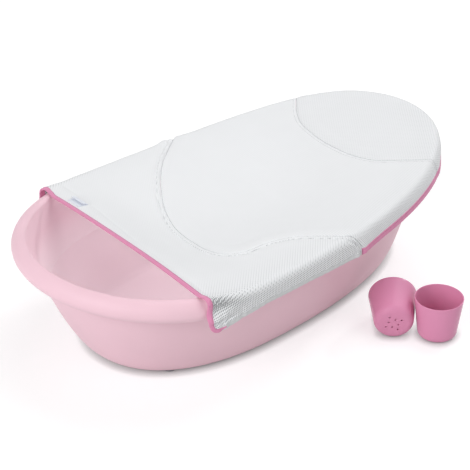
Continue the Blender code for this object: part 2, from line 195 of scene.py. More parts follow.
def curve_through(knots, step):
    """Smooth line through a few knots."""
    knots = np.array(knots, float)
    chord = length_along(knots)
    slope = np.gradient(knots, chord, axis=0)
    pieces = []
    for i in range(len(knots) - 1):
        span = chord[i + 1] - chord[i]
        pieces.append(bezier(knots[i], knots[i] + slope[i] * span / 3,
                             knots[i + 1] - slope[i + 1] * span / 3, knots[i + 1], 16)[:-1])
    pieces.append(knots[-1:])
    return evenly(np.concatenate(pieces), step)


def egg_outline(length, width, foot_x, widest, foot_rounding, head_rounding):
    """Egg-shaped plan, counterclockwise from the foot's tip along the near side."""
    half = width / 2

    def quarter(end_x, rounding, steps):
        end_handle = (rounding[1] * end_x, -half)
        return bezier((end_x, 0), (end_x, -rounding[0] * half), end_handle, (0, -half), steps)

    foot = quarter(-widest, foot_rounding, FOOT_STEPS)
    head = quarter(length - widest, head_rounding, HEAD_STEPS)
    near = np.concatenate([foot, head[-2::-1]]) + [foot_x + widest, 0]
    return np.concatenate([near, near[-2:0:-1] * [1, -1]])


def outward(points):
    """Outward normals of a closed counterclockwise outline."""
    along = along_line(points, closed=True)
    return np.stack([along[:, 1], -along[:, 0]], axis=1)


RIM = egg_outline(TUB_LENGTH, TUB_WIDTH, FOOT_TIP_X, RIM_WIDEST_FROM_FOOT,
                  RIM_FOOT_ROUNDING, RIM_HEAD_ROUNDING)
RIM_OUT = outward(RIM)
CREST = RIM - RIM_OUT * RIM_RADIUS
BASE = egg_outline(BASE_LENGTH, BASE_WIDTH, FOOT_TIP_X + BASE_FOOT_SETBACK, BASE_WIDEST_FROM_FOOT,
                   BASE_FOOT_ROUNDING, BASE_HEAD_ROUNDING)
BASE_OUT = outward(BASE)
HEAD_TIP = FOOT_STEPS + HEAD_STEPS
RIM_ROUND = length_along(RIM)


def tree_of(points):
    """Search tree over plan points."""
    tree = KDTree(len(points))
    for i, (x, y) in enumerate(points):
        tree.insert((x, y, 0), i)
    tree.balance()
    return tree


def nearest(tree, flat):
    """Index of the tree's nearest point to each flat point."""
    return np.array([tree.find((u, v, 0))[1] for u, v in flat])


CREST_TREE = tree_of(CREST)


def rim_height(x):
    """Height of the rim's top, lowest at its widest place."""
    head = np.clip((x - RIM_WIDEST_X) / (TUB_LENGTH - RIM_WIDEST_FROM_FOOT), 0, None)
    foot = np.clip((RIM_WIDEST_X - x) / RIM_WIDEST_FROM_FOOT, 0, None)
    return RIM_HEIGHT + HEAD_RISE * head ** HEAD_RISE_POWER + FOOT_RISE * foot ** FOOT_RISE_POWER


def half_width(x):
    """Half the sling's width between the crests of the rim."""
    near = CREST[:HEAD_TIP + 1]
    return np.interp(x, near[:, 0], -near[:, 1])


def sag(x, y):
    """Depth of the sling below the rim."""
    share = np.clip(np.abs(y) / np.maximum(half_width(x), 1e-6), 0, 1)
    foot = smooth(x, SLING_FOOT_X, SAG_FOOT_RAMP)
    head = smooth(SAG_HEAD_END - x, 0, SAG_HEAD_RAMP)
    return SAG_DEPTH * foot * head * (1 - share * share) ** SAG_POWER


def beside_crest(flat):
    """Rim point, outward normal, way round the rim and distance outside the crest for each flat point."""
    found = nearest(CREST_TREE, flat)
    along = along_line(CREST, closed=True)
    ahead = ((flat - CREST[found]) * along[found]).sum(1)
    other = (found + np.where(ahead < 0, -1, 1)) % len(CREST)
    gap = np.linalg.norm(CREST[other] - CREST[found], axis=1)
    share = np.clip(np.abs(ahead) / gap, 0, 0.5)[:, None]
    rim = RIM[found] * (1 - share) + RIM[other] * share
    normal = RIM_OUT[found] * (1 - share) + RIM_OUT[other] * share
    normal /= np.linalg.norm(normal, axis=1)[:, None]
    out = ((flat - rim + normal * RIM_RADIUS) * normal).sum(1)
    return rim, normal, RIM_ROUND[found] + ahead, out


# Seams on the flat cloth, from the far side to the near side
SEAM_STEP = 0.0015
COLLAR_SEAM = curve_through([
    (0.0640, 0.2560), (0.0626, 0.2408), (0.0510, 0.2260), (0.0362, 0.2120), (0.0120, 0.1940),
    (-0.0180, 0.1710), (-0.0640, 0.1200), (-0.0940, 0.0740), (-0.1160, 0.0200), (-0.1240, -0.0340),
    (-0.1275, -0.0760), (-0.1190, -0.1130), (-0.1000, -0.1290), (-0.0600, -0.1350), (-0.0280, -0.1480),
    (0.0130, -0.1935), (0.0330, -0.2150), (0.0475, -0.2245), (0.0550, -0.2325), (0.0615, -0.2415),
    (0.0640, -0.2560)], SEAM_STEP)
HEAD_SEAM = curve_through([
    (0.3180, 0.2040), (0.2960, 0.1740), (0.2790, 0.1560), (0.2520, 0.1260), (0.2340, 0.0980),
    (0.2220, 0.0520), (0.2180, 0.0000), (0.2210, -0.0500), (0.2340, -0.0940), (0.2560, -0.1220),
    (0.2790, -0.1480), (0.2960, -0.1680), (0.3180, -0.2040)], SEAM_STEP)
FELL_WIDTH = 0.0075
HEAD_FELL_WIDTH = 0.0050

# Swells and grooves beside the seams: height, distance from the seam towards the foot, and width
FELL_RISE = 0.0007
FELL_EDGE = 0.0015
COLLAR_SWELLS = ((-0.0020, 0.0, 0.0016), (-0.0024, FELL_WIDTH, 0.0016), (0.0012, -0.016, 0.010),
                 (0.0005, 0.020, 0.010))
COLLAR_SKIRT_SWELLS = ((0.0036, 0.013, 0.008), (-0.0004, 0.0, 0.0028), (0.0020, -0.007, 0.004))
HEAD_GROOVES = ((-0.0018, 0.0, 0.0018), (-0.0008, HEAD_FELL_WIDTH, 0.0016))
HEAD_SWELLS = ((0.0008, -0.014, 0.010),)


def seam_side(seam):
    """Function that gives the signed distance from a seam, positive towards the foot."""
    tree = tree_of(seam)
    along = along_line(seam)

    def distance(flat):
        found = nearest(tree, flat)
        gap = flat - seam[found]
        across = gap[:, 1] * along[found, 0] - gap[:, 0] * along[found, 1]
        return np.sign(-across) * np.linalg.norm(gap, axis=1)

    return distance


from_collar_seam = seam_side(COLLAR_SEAM)
from_head_seam = seam_side(HEAD_SEAM)

# Places where the foot edge crosses the crest, as places along the rim's outermost line
FOOT_CROSS_NEAR_X = -0.2520
FOOT_CROSS_FAR_X = -0.2345

# How much longer or shorter the skirt is at places along the rim
HEM_DROP_KNOTS = (-0.2475, -0.225, -0.195, -0.150, -0.060, 0.005, 0.060, 0.120, 0.400)
HEM_DROP_GAINS = (0.0230, 0.0105, 0.0000, -0.0070, -0.0070, -0.0040, -0.0010, -0.0050, -0.0060)

# Loose cloth at the foot corners: how its fold stands out over the rim, and how far back that goes
NEAR_OVERHANG = 0.0050
FAR_OVERHANG = 0.0065
CORNER_BEND = 0.0025
CORNER_TUCK = radians(10)
CORNER_REACH = 0.036
RIDGE_REACH = 0.050
CORNER_HOLLOW = 0.0086
CORNER_PUFF = 0.0035
CORNER_RIDGE = 0.0042
CORNER_CREASE = 0.0058

# Painted shade under a corner fold, drawn as mesh pulled open past full stretch so that its holes go dark:
# its distance from the crest, width, slant and reach along the rim
CORNER_SHADE_OUT = 0.0215
CORNER_SHADE_WIDTH = 0.0100
CORNER_SHADE_SLANT = 0.12
CORNER_SHADE_REACH = 0.066

# Hem at the foot edge: places across the cloth, the width of the hem there, its roll and its sewn groove
CASING_PLACES = (-0.200, -0.090, 0.010, 0.150)
CASING_WIDTHS = (0.0105, 0.0115, 0.0190, 0.0340)
CASING_ROLL = 0.0011
CASING_GROOVE = 0.0012

# Lower edge of the skirt: how deep it is drawn in by elastic, tucked and curled, and its gathers
HEM_DRAW = 0.0020
SIDE_TUCK = 0.0020
HEAD_TUCK = 0.0060
HEM_CURL = 0.0016
GATHER_RISE = 0.00035
GATHER_LENGTHS = (0.0113, 0.0171)
TOP_SLACK = 0.0005


def skirt_out(rim_x):
    """Distance on the cloth from the crest to the hem: long at the foot corners, short along the sides."""
    loose = mound(np.maximum(rim_x - FOOT_CROSS_NEAR_X, 0), CORNER_REACH)
    return SKIRT_OUT + np.interp(rim_x, HEM_DROP_KNOTS, HEM_DROP_GAINS) + NEAR_OVERHANG * loose


def behind_corner(flat, rim):
    """How far behind the foot corner of its side each flat point is, along the tub."""
    return rim[:, 0] - np.where(flat[:, 1] < 0, FOOT_CROSS_NEAR_X, FOOT_CROSS_FAR_X)


def corner_share(flat, rim):
    """How much of the loose cloth of the near and of the far foot corner there is at each flat point."""
    loose = mound(np.maximum(behind_corner(flat, rim), 0), CORNER_REACH)
    return np.where(flat[:, 1] < 0, loose, 0), np.where(flat[:, 1] > 0, loose, 0)


def corner_relief(behind, down):
    """Loose cloth at a foot corner: a hollow under its fold, then a slanting ridge and a crease."""
    back = np.maximum(behind, 0)
    past_tape = smooth(behind, 0.008, 0.010)
    ridge_down = np.maximum(0.050 - 0.45 * back, 0.0185)
    above_ridge = 1 - smooth(down - ridge_down, -0.015, 0.012)
    hollow = CORNER_HOLLOW * np.clip((down - 0.0125) / 0.0170, 0, 1) * above_ridge
    hollow = hollow * (0.35 + 0.65 * past_tape)
    puff = CORNER_PUFF * smooth(down, -0.009, 0.016) * (1 - smooth(down, 0.012, 0.012))
    ridge = CORNER_RIDGE * mound(down - ridge_down, 0.0075) * (0.2 + 0.8 * past_tape)
    crease_reach = smooth(behind, 0.006, 0.010) * (1 - smooth(behind, 0.036, 0.016))
    crease = CORNER_CREASE * mound(down - (0.0515 - 0.16 * back), 0.0026) * crease_reach
    return mound(back, CORNER_REACH) * (puff - hollow) + mound(back, RIDGE_REACH) * ridge - crease


def swells(distance, table):
    """Sum of soft humps and grooves, each with its height, place and width."""
    return sum(height * mound(distance - place, width) for height, place, width in table)


def seam_relief(flat, on_skirt):
    """Felled seams: a double layer between two sewn grooves, and soft swells beside them."""
    collar = from_collar_seam(flat)
    head = from_head_seam(flat)
    fell = smooth(collar, 0, FELL_EDGE) * (1 - smooth(collar - FELL_WIDTH, -FELL_EDGE, FELL_EDGE))
    rise = FELL_RISE * fell + swells(collar, COLLAR_SWELLS) + on_skirt * swells(collar, COLLAR_SKIRT_SWELLS)
    return rise + (1 - 0.7 * on_skirt) * swells(head, HEAD_GROOVES) + swells(head, HEAD_SWELLS)


def casing_relief(flat):
    """Hem at the foot edge: a low roll and the sewn groove behind it."""
    behind = flat[:, 0] - foot_edge(flat[:, 1])
    width = np.interp(flat[:, 1], CASING_PLACES, CASING_WIDTHS)
    roll = CASING_ROLL * mound(behind - 0.5 * width, 0.45 * width)
    return roll - CASING_GROOVE * mound(behind - width, 0.0045)


def hem_relief(rim, normal, way, out):
    """Lower edge of the skirt: drawn in and gathered by elastic at the sides, tucked in round the head."""
    past_hem = out - skirt_out(rim[:, 0])
    elastic = 1 - smooth(rim[:, 0], 0.03, 0.05)
    draw = HEM_DRAW * elastic * smooth(past_hem, -0.014, 0.014)
    tuck = SIDE_TUCK * (1 - elastic) + HEAD_TUCK * smooth(normal[:, 0], 0.45, 0.35)
    tuck = tuck * smooth(past_hem, -0.018, 0.020)
    curl = HEM_CURL * (1 - elastic) * (1 - smooth(normal[:, 0], 0.40, 0.35))
    curl = curl * np.clip((past_hem + 0.0105) / 0.0105, 0, 1.2)
    long_wave, short_wave = (way * 2 * np.pi / length for length in GATHER_LENGTHS)
    gathers = GATHER_RISE * (np.sin(long_wave) + 0.6 * np.sin(short_wave + 1.3))
    return gathers * smooth(out, 0.024, 0.016) * (0.3 + elastic) - draw - tuck - curl


def relief(flat, rim, normal, way, out):
    """Height that the sewn cloth stands above its plain lay, or sinks below it."""
    on_skirt = smooth(out, 0.002, 0.012)
    on_top = 1 - smooth(out, -0.004, 0.010)
    near, far = corner_share(flat, rim)
    down = out - NEAR_OVERHANG * near - FAR_OVERHANG * far
    slack = TOP_SLACK * np.sin(flat[:, 0] * 31 + 0.6) * np.sin(flat[:, 1] * 27 + 0.4)
    rise = seam_relief(flat, on_skirt) + on_top * (casing_relief(flat) + slack)
    return rise + corner_relief(behind_corner(flat, rim), down) + hem_relief(rim, normal, way, out)


def foot_edge(v):
    """Place along the tub of the foot edge's tape line, across the flat cloth."""
    return FOOT_EDGE_U + FOOT_EDGE_SKEW * v - FOOT_EDGE_BOW * v * v


def skirt_slope(normal):
    """Angle between the hanging skirt and the vertical: it flares a little, most beside the head."""
    beside_head = smooth(normal[:, 0], -0.1, 0.5)
    round_head = smooth(normal[:, 0], 0.50, 0.35)
    return np.radians(15 + 7 * beside_head - 8 * round_head)


def fold_radius(normal):
    """Radius of the bend at the rim: a tight fold on the near side, a round one on the far side."""
    near = smooth(0.45 - normal[:, 1], 0, 0.6)
    return FAR_BEND + (NEAR_BEND - FAR_BEND) * near


def lay(flat, lift):
    """Places of flat points of the cloth, laid over the tub at a height above its underside."""
    flat = np.asarray(flat, float)
    rim, normal, way, out = beside_crest(flat)
    height = lift + relief(flat, rim, normal, way, out)
    near, far = corner_share(flat, rim)
    slope = skirt_slope(normal) - CORNER_TUCK * near
    bend = fold_radius(normal) * (1 - near) + CORNER_BEND * near
    start = (RIM_RADIUS - bend) * np.tan(np.pi / 4 - slope / 2) + NEAR_OVERHANG * near + FAR_OVERHANG * far
    turn = np.clip((out - start) / bend, 0, np.pi / 2 - slope)
    hang = np.maximum(out - start - bend * (np.pi / 2 - slope), 0)
    side = np.minimum(out, start) + bend * np.sin(turn) + hang * np.sin(slope)
    side += height * np.sin(turn) - RIM_RADIUS
    drop = bend * (1 - np.cos(turn)) + hang * np.cos(slope)
    over = out > 0
    plan = np.where(over[:, None], rim + normal * side[:, None], flat)
    level = rim_height(plan[:, 0]) + height * np.cos(turn)
    z = np.where(over, level - drop, level - sag(flat[:, 0], flat[:, 1]))
    return np.column_stack([plan, z])


def placed(name, data):
    """New object in the scene."""
    made = bpy.data.objects.new(name, data)
    bpy.context.scene.collection.objects.link(made)
    return made


def make_object(name, points, faces, coordinates=None):
    """Smooth-shaded object from points and faces, with flat cloth coordinates where given."""
    mesh = bpy.data.meshes.new(name)
    mesh.from_pydata(np.asarray(points).tolist(), [], faces)
    if coordinates is not None:
        layer = mesh.uv_layers.new(name="cloth")
        corners = np.zeros(len(mesh.loops), np.int32)
        mesh.loops.foreach_get("vertex_index", corners)
        layer.data.foreach_set("uv", np.asarray(coordinates, np.float32)[corners].ravel())
    mesh.shade_smooth()
    mesh.set_sharp_from_angle(angle=radians(50))
    return placed(name, mesh)


def mark(piece, name, values):
    """Named value at each point of a piece, for its material."""
    layer = piece.data.attributes.new(name, "FLOAT", "POINT")
    layer.data.foreach_set("value", np.asarray(values, np.float32))


def ring_faces(rings, count):
    """Quads between closed rings of points numbered one after another."""
    faces = []
    for low in range(0, (rings - 1) * count, count):
        for j in range(count):
            k = (j + 1) % count
            faces.append((low + j, low + k, low + count + k, low + count + j))
    return faces


def tube_faces(rings, count, first=0):
    """Faces of a tube of rings with closed ends, its points numbered from a first one."""
    last = (rings - 1) * count
    faces = ring_faces(rings, count) + [tuple(range(count - 1, -1, -1)), tuple(range(last, last + count))]
    return [tuple(first + i for i in face) for face in faces]


# Border of the cloth: the foot edge's way down the skirt, along the rim from its corner and from the crest
FOOT_EDGE_FALL = ((0.0, 0.0), (0.0050, 0.014), (0.0072, 0.024), (0.0060, 0.042))
CORNER_TURN = 0.0080
TAPE_HEM_LENGTH = 0.030


def skirt_point(rim_x, side, out):
    """Flat point of the skirt at a place along the rim."""
    near = RIM[:HEAD_TIP + 1]
    index = np.interp(rim_x, near[:, 0], np.arange(len(near)))
    low = int(index)
    share = index - low
    crest = CREST[low] * (1 - share) + CREST[low + 1] * share
    normal = RIM_OUT[low] * (1 - share) + RIM_OUT[low + 1] * share
    return (crest + normal * out) * [1, -side]


def border_line():
    """Closed middle line of the border bands on the flat cloth, counterclockwise and evenly spaced."""
    corner = {}
    foot = []
    for side, cross_x in ((1, FOOT_CROSS_FAR_X), (-1, FOOT_CROSS_NEAR_X)):
        hem_x = cross_x + TAPE_HEM_LENGTH
        edge = [skirt_point(cross_x + ahead, side, out) for ahead, out in FOOT_EDGE_FALL]
        turn = skirt_point(cross_x + CORNER_TURN, side, skirt_out(cross_x) - BAND_WIDTH / 2)
        start = skirt_point(hem_x, side, skirt_out(hem_x) - BAND_WIDTH / 2)
        edge_handle = edge[-1] + (turn - edge[-1]) * 0.85
        sweep = bezier(edge[-1], edge_handle, start + (turn - start) * 0.75, start, 24)
        corner[side] = np.concatenate([curve_through(edge, BORDER_STEP)[:-1], sweep])
        foot.append(edge[0])
    across = np.linspace(foot[0][1] - 0.012, foot[1][1] + 0.012, 120)
    middle = np.column_stack([foot_edge(across), across])
    hem = []
    for place, crest, normal in zip(RIM, CREST, RIM_OUT):
        cross_x = FOOT_CROSS_NEAR_X if place[1] < 0 else FOOT_CROSS_FAR_X
        if place[0] > cross_x + TAPE_HEM_LENGTH + 0.001:
            hem.append(crest + normal * (skirt_out(place[0]) - BAND_WIDTH / 2))
    loop = np.concatenate([np.array(hem), corner[1][::-1], middle, corner[-1]])
    loop = evenly(np.concatenate([loop, loop[:1]]), BORDER_STEP)[:-1]
    for _ in range(3):
        loop = 0.5 * loop + 0.25 * (np.roll(loop, 1, axis=0) + np.roll(loop, -1, axis=0))
    return loop


BORDER = border_line()
BORDER_OUT = outward(BORDER)
INNER_BORDER = BORDER - BORDER_OUT * (BAND_WIDTH / 2 + BAND_GAP)
INNER_TREE = tree_of(INNER_BORDER)


def stretch_of(line, start, end):
    """Part of a closed line from one index forward to another."""
    if end < start:
        end += len(line)
    return line[np.arange(start, end + 1) % len(line)]


def inside(points, outline):
    """Which points lie inside a closed outline."""
    result = np.zeros(len(points), bool)
    ends = np.roll(outline, -1, axis=0)
    for (ax, ay), (bx, by) in zip(outline, ends):
        if ay == by:
            continue
        cross = (ay > points[:, 1]) != (by > points[:, 1])
        reach = ax + (points[:, 1] - ay) * (bx - ax) / (by - ay)
        result ^= cross & (points[:, 0] < reach)
    return result


def trimmed(seam, shift):
    """Seam line shifted to one side and cut off where it meets the border bands."""
    moved = shifted(seam, shift)
    return moved[inside(moved, INNER_BORDER)]


def panel_outlines():
    """Flat outlines of the three panels."""
    half_gap = SEAM_GAP / 2
    lines = {
        "collar": trimmed(COLLAR_SEAM, -half_gap),
        "centre_foot": trimmed(COLLAR_SEAM, half_gap),
        "centre_head": trimmed(HEAD_SEAM, -half_gap),
        "head": trimmed(HEAD_SEAM, half_gap),
    }
    ends = {name: nearest(INNER_TREE, line[[0, -1]]) for name, line in lines.items()}
    foot_border = stretch_of(INNER_BORDER, ends["collar"][0] + 1, ends["collar"][1] - 1)
    head_border = stretch_of(INNER_BORDER, ends["head"][1] + 1, ends["head"][0] - 1)
    collar = np.concatenate([lines["collar"], foot_border[::-1]])
    centre = np.concatenate([
        lines["centre_foot"],
        stretch_of(INNER_BORDER, ends["centre_foot"][1] + 1, ends["centre_head"][1] - 1),
        lines["centre_head"][::-1],
        stretch_of(INNER_BORDER, ends["centre_head"][0] + 1, ends["centre_foot"][0] - 1)])
    head = np.concatenate([lines["head"], head_border])
    return {"collar": collar, "centre": centre, "head": head}


def spread_net(outline):
    """Triangle net inside a flat outline: its points and faces."""
    low = outline.min(0)
    high = outline.max(0)
    columns = np.arange(low[0], high[0], CLOTH_NET)
    rows = np.arange(low[1], high[1], CLOTH_NET * 0.87)
    grid = np.array([(x + (j % 2) * CLOTH_NET / 2, y) for j, y in enumerate(rows) for x in columns])
    grid = grid[inside(grid, outline)]
    tree = tree_of(outline)
    gap = np.array([tree.find((x, y, 0))[2] for x, y in grid])
    points = np.concatenate([outline, grid[gap > CLOTH_NET * 0.6]])
    border = list(range(len(outline)))
    found = delaunay_2d_cdt([Vector(p) for p in points], [], [border], 1, 1e-7)
    flat = np.array([tuple(v) for v in found[0]])
    return flat, [tuple(f) for f in found[2]]


def signed_area(flat, faces):
    """Areas of flat triangles, positive where they face up."""
    a, b, c = (flat[np.array(faces)[:, k]] for k in range(3))
    return ((b - a)[:, 0] * (c - a)[:, 1] - (b - a)[:, 1] * (c - a)[:, 0]) / 2


def mesh_stretch_and_shade(flat):
    """How far the mesh is pulled open, most on the skirts; past 1, under the corner folds, it is painted
    shade that darkens the holes there.
    """
    rim, _, _, out = beside_crest(flat)
    near_side = smooth(0.02 - flat[:, 1], 0, 0.06)
    stretch_and_shade = 0.16 * near_side * smooth(out, -0.050, 0.050) + 0.84 * smooth(out, 0.011, 0.014)
    behind = np.maximum(behind_corner(flat, rim), 0)
    # Painted shade: a band under each foot-corner fold where the mesh is made darker, in place of the shade
    # under the fold
    fold_shade = mound(out - CORNER_SHADE_OUT + CORNER_SHADE_SLANT * behind, CORNER_SHADE_WIDTH)
    return stretch_and_shade + mound(behind, CORNER_SHADE_REACH) * fold_shade


def sew_panel(name, outline):
    """Panel of cloth with a real thickness, laid over the tub. Returns it with its flat area."""
    flat, faces = spread_net(outline)
    area = signed_area(flat, faces)
    faces = [f if s > 0 else f[::-1] for f, s in zip(faces, area)]
    count = len(flat)
    edges = dict.fromkeys(edge for face in faces for edge in zip(face, face[1:] + face[:1]))
    solid = faces + [tuple(i + count for i in f[::-1]) for f in faces]
    solid += [(b, a, a + count, b + count) for a, b in edges if (b, a) not in edges]
    points = np.concatenate([lay(flat, CLOTH_TOP), lay(flat, CLOTH_UNDER)])
    panel = make_object(name, points, solid, np.tile(flat, (2, 1)))
    mark(panel, "stretch_and_shade", np.tile(mesh_stretch_and_shade(flat), 2))
    return panel, float(np.abs(area).sum())


def tape_section(width, low, high, rounding):
    """Rounded section of a folded tape as (across, lift) points."""
    side = width / 2 - rounding
    top = high - rounding
    base = low + rounding
    corners = []
    for k, middle in enumerate(((side, top), (-side, top), (-side, base), (side, base))):
        corners.append(arc(middle, rounding, k * pi / 2, (k + 1) * pi / 2, 4))
    return np.concatenate(corners)


def sew_tape(name, path, section, widths=1.0):
    """Tape swept along a line on the flat cloth; widths scales it across along its way."""
    along = along_line(path)
    across = np.stack([along[:, 1], -along[:, 0]], axis=1)
    count = len(section)
    wide = np.broadcast_to(widths, len(path))[:, None, None]
    flat = (path[:, None, :] + across[:, None, :] * section[None, :, :1] * wide).reshape(-1, 2)
    lift = np.tile(section[:, 1], len(path))
    girth = np.tile(length_along(section), len(path))
    coordinates = np.column_stack([np.repeat(length_along(path), count), girth])
    return make_object(name, lay(flat, lift), tube_faces(len(path), count), coordinates)


STITCH_LENGTH = 0.0021
STITCH_PITCH = 0.0023
THREAD_RADIUS = 0.00030
STITCH_SHAPE = ((-0.5, 0.35, -0.8), (-0.3, 0.9, 0.2), (0.0, 1.0, 0.6), (0.3, 0.9, 0.2), (0.5, 0.35, -0.8))
STITCH_SIDES = 6


def sew_stitches(name, rows):
    """Rows of thread stitches; each row is a line on the flat cloth and the lift that it lies at."""
    share, girth, rise = np.repeat(STITCH_SHAPE, STITCH_SIDES, axis=0).T
    turn = np.tile(2 * np.pi * np.arange(STITCH_SIDES) / STITCH_SIDES, len(STITCH_SHAPE))
    ahead = share * STITCH_LENGTH
    beside = THREAD_RADIUS * girth * np.cos(turn)
    up = THREAD_RADIUS * (rise + girth * np.sin(turn))
    flats, lifts, faces = [], [], []
    for path, lift in rows:
        line = evenly(path, STITCH_PITCH)
        for place, way in zip(line[1:-1], along_line(line)[1:-1]):
            faces += tube_faces(len(STITCH_SHAPE), STITCH_SIDES, len(flats) * len(turn))
            flats.append(place + np.outer(ahead, way) + np.outer(beside, (way[1], -way[0])))
            lifts.append(lift + up)
    coordinates = np.tile(np.column_stack([ahead, turn * THREAD_RADIUS]), (len(flats), 1))
    return make_object(name, lay(np.concatenate(flats), np.concatenate(lifts)), faces, coordinates)


# Tapes, hems and label; the swells scale a tape's width at distances from its ends
TAPE_TAPER = 0.018
TAPE_UNDER = 0.0005
TAPE_ROUNDING = 0.0015
HEM_ROUNDING = 0.0012
HEM_UNDERLAP = 8
FAR_CORNER_STEPS = 60
TAPE_SWELLS = ((0.35, 0.048, 0.028),)
FAR_TAPE_SWELLS = ((0.45, 0.050, 0.022),)
TAPE_STITCH_IN = 0.0026
TAPE_STITCH_ENDS = 10
HEAD_STITCH_IN = 0.0024
HEM_STITCH_IN = 0.0022
HEM_TAPE_HALF = 0.172
HEM_TAPE_WIDTH = 0.012
HEM_TAPE_UNDER = -0.0012
HEM_TAPE_TOP = -0.0002
HEM_TAPE_ROUNDING = 0.0004
HEM_TAPE_SETBACK = 0.0145
LABEL_SETBACK = 0.0170
LABEL_FROM = 0.1330
LABEL_TO = 0.1640
LABEL_HALF = 0.00875


def border_index(rim_x, side):
    """Index of the border line at a place along the rim."""
    place = skirt_point(rim_x, side, skirt_out(rim_x) - BAND_WIDTH / 2)
    return int(np.linalg.norm(BORDER - place, axis=1).argmin())


def across_foot(start, end, steps, setback):
    """Line across the flat cloth at a distance behind the foot edge."""
    line = np.linspace(start, end, steps)
    return np.column_stack([foot_edge(line) + setback, line])


def label_section():
    """Section of the label: a strip folded back over itself, its free edge standing up a little."""
    low = CLOTH_TOP + 0.0002
    fold = LABEL_HALF
    under = [(-fold, 0.0), (fold - 0.0010, 0.0), (fold, 0.0010), (fold - 0.0010, 0.0020)]
    over = [(0.0040, 0.0030), (-0.0010, 0.0042), (-0.0010, 0.0036), (0.0040, 0.0024)]
    inner = [(fold - 0.0016, 0.0014), (fold - 0.0006, 0.0010), (fold - 0.0016, 0.0006), (-fold, 0.0006)]
    return np.array(under + over + inner) + [0, low]


# Tub: rings of its skin over the rim, inside the rim and on the wall above the fill line
RIM_RINGS = 21
RIM_INNER_RINGS = 5
UPPER_WALL_RINGS = 11
LOWER_WALL_RINGS = 16
FLOOR_SHARES = (0.997, 0.985, 0.95, 0.88, 0.75, 0.6, 0.45, 0.3, 0.15)
FILL_LINE_SHARES = ((-1, 1.0), (0, 0.80), (1, 0.40))
# Ring where the tub's painted light, a paler inside colour, starts, and how many rings it takes to come in
# full
INSIDE_FIRST_RING = 20
INSIDE_RAMP_RINGS = 15


def wall_plan_share(height_share):
    """Share of the way out from the floor's edge to the rim at a share of the wall's height."""
    plan = np.linspace(0, 1, 500)
    power = 1 / WALL_CURVE
    part = plan / WALL_FILLET_SHARE
    eased = WALL_FILLET_SHARE ** power * ((3 - power) * part ** 2 + (power - 2) * part ** 3)
    return np.interp(height_share, np.where(plan < WALL_FILLET_SHARE, eased, plan ** power), plan)


def tub_rings():
    """Rings of the tub's inner and top side, from the rim's free edge to the middle of the floor."""
    rings = []
    for turn in np.radians(np.linspace(RIM_LIP_ANGLE, 90, RIM_RINGS)):
        plan = RIM + RIM_OUT * RIM_RADIUS * (cos(turn) - 1)
        rings.append(np.column_stack([plan, rim_height(plan[:, 0]) - RIM_RADIUS * (1 - sin(turn))]))
    for turn in np.radians(np.linspace(15, 75, RIM_INNER_RINGS)):
        plan = RIM - RIM_OUT * (RIM_RADIUS + RIM_INNER_RADIUS * sin(turn))
        drop = RIM_INNER_RADIUS * (1 - cos(turn))
        rings.append(np.column_stack([plan, rim_height(plan[:, 0]) - drop]))
    wall_top = RIM - RIM_OUT * (RIM_TO_WALL + TUB_WALL)
    top_z = rim_height(wall_top[:, 0]) - 2 * RIM_RADIUS
    floor = BASE - BASE_OUT * TUB_WALL
    low_fill = FILL_LINE_HEIGHT - FILL_LINE_HALF
    high_fill = FILL_LINE_HEIGHT + FILL_LINE_HALF
    heights = [high_fill + (top_z - high_fill) * s for s in np.linspace(1, 0, UPPER_WALL_RINGS)]
    fill_ring = len(rings) + len(heights) + 1
    levels = [FILL_LINE_HEIGHT + FILL_LINE_HALF * s for s in (0.5, 0, -0.5)]
    lower_shares = np.linspace(1, 0.06, LOWER_WALL_RINGS) ** 1.6
    levels += [FLOOR_TOP + (low_fill - FLOOR_TOP) * share for share in lower_shares]
    heights += [np.full(len(RIM), level) for level in levels]
    for z in heights:
        share = wall_plan_share((z - FLOOR_TOP) / (top_z - FLOOR_TOP))[:, None]
        rings.append(np.column_stack([floor * (1 - share) + wall_top * share, z]))
    for share in FLOOR_SHARES:
        rings.append(np.column_stack([floor * share, np.full(len(floor), FLOOR_TOP)]))
    return np.array(rings), fill_ring


def grid_normals(rings):
    """Normals of a closed surface grid, facing up and inwards."""
    down = np.gradient(rings, axis=0)
    round_way = np.roll(rings, -1, axis=1) - np.roll(rings, 1, axis=1)
    normal = np.cross(round_way, down)
    return normal / np.linalg.norm(normal, axis=2)[:, :, None]


def build_tub():
    """Moulded tub with a rounded free edge, a fill line and an even wall."""
    rings, fill_ring = tub_rings()
    normal = grid_normals(rings)
    outer = rings - normal * TUB_WALL
    for step, share in FILL_LINE_SHARES:
        rings[fill_ring + step] += normal[fill_ring + step] * FILL_LINE_RISE * share
    ahead = rings[0] - rings[1]
    ahead = ahead / np.linalg.norm(ahead, axis=1)[:, None]
    lip = (rings[0] + outer[0]) / 2 + ahead * TUB_WALL * 0.45
    skin = np.concatenate([rings[::-1], lip[None], outer])
    count = skin.shape[1]
    total = len(skin)
    faces = [f[::-1] for f in ring_faces(total, count)]
    points = skin.reshape(-1, 3)
    top_middle = len(points)
    points = np.concatenate([points, [[0, 0, FLOOR_TOP], [0, 0, FLOOR_TOP - TUB_WALL]]])
    last = (total - 1) * count
    for j in range(count):
        k = (j + 1) % count
        faces.append((j, k, top_middle))
        faces.append((last + k, last + j, top_middle + 1))
    made = make_object("moulded_tub", points, faces)
    inner = np.zeros((total, count))
    # Painted light: the skin turns to the paler inside colour from over the rim's inner side on down into
    # the tub
    inside_share = smooth(np.arange(len(rings)), INSIDE_FIRST_RING, INSIDE_RAMP_RINGS)
    inner[:len(rings)] = inside_share[::-1, None]
    mark(made, "inner", np.append(inner.ravel(), (1, 0)))
    return made


